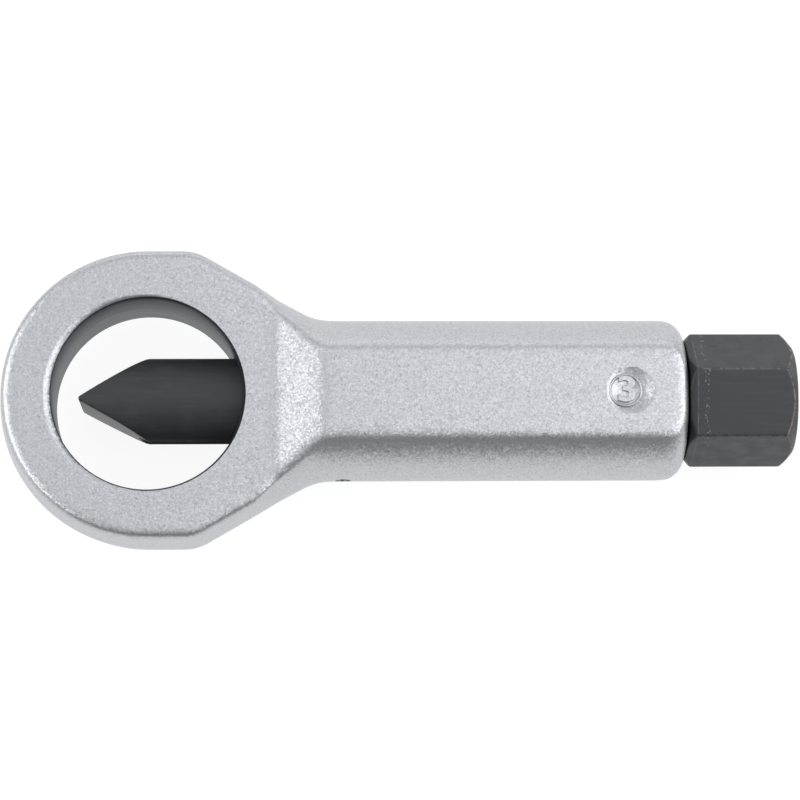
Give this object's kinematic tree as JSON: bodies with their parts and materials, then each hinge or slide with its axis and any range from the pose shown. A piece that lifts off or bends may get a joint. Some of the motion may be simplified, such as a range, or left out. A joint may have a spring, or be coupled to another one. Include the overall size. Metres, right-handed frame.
{
  "type": "nut splitter",
  "caption": "Hand nut splitter: forged ring head and barrel, with a keyed wedge chisel that a hexagon-headed pressure screw drives across the opening.",
  "frame": {"origin": "centre of the nut opening, on the axis of chisel and pressure screw, at mid thickness of the head", "axes": "+X along the screw's axis from the opening to the hexagon head, +Z square to the flat faces, away from the face that it rests on"},
  "size_m": [0.1294, 0.0484, 0.022],
  "materials": {
    "zinc_plated_forging": "blasted forging with bright zinc plating, machined opening and bores",
    "black_chisel_steel": "hardened steel, black oxide, satin",
    "black_screw_steel": "drawn hexagon steel, black phosphate, worn on its edges",
    "spring_steel": "dark spring steel",
    "bearing_steel": "polished bearing steel"
  },
  "bodies": {
    "body": {"body": "zinc_plated_forging", "guide_pin": "spring_steel"},
    "chisel": {"chisel": "black_chisel_steel", "thrust_ball": "bearing_steel", "retaining_ring": "spring_steel"},
    "screw": {"pressure_screw": "black_screw_steel"}
  },
  "joints": [
    {"name": "chisel_slide", "type": "slide", "parent": "body", "child": "chisel", "axis": [1, 0, 0], "range_m": [0, 0.024]},
    {"name": "screw_turn", "type": "hinge", "parent": "chisel", "child": "screw", "pos_m": [0.0485, 0, 0], "axis": [1, 0, 0], "range_deg": [0, 5760]}
  ],
  "couplings": [
    {"joint": "screw_turn", "follows": "chisel_slide", "rad_per_m": 4188.8}
  ]
}
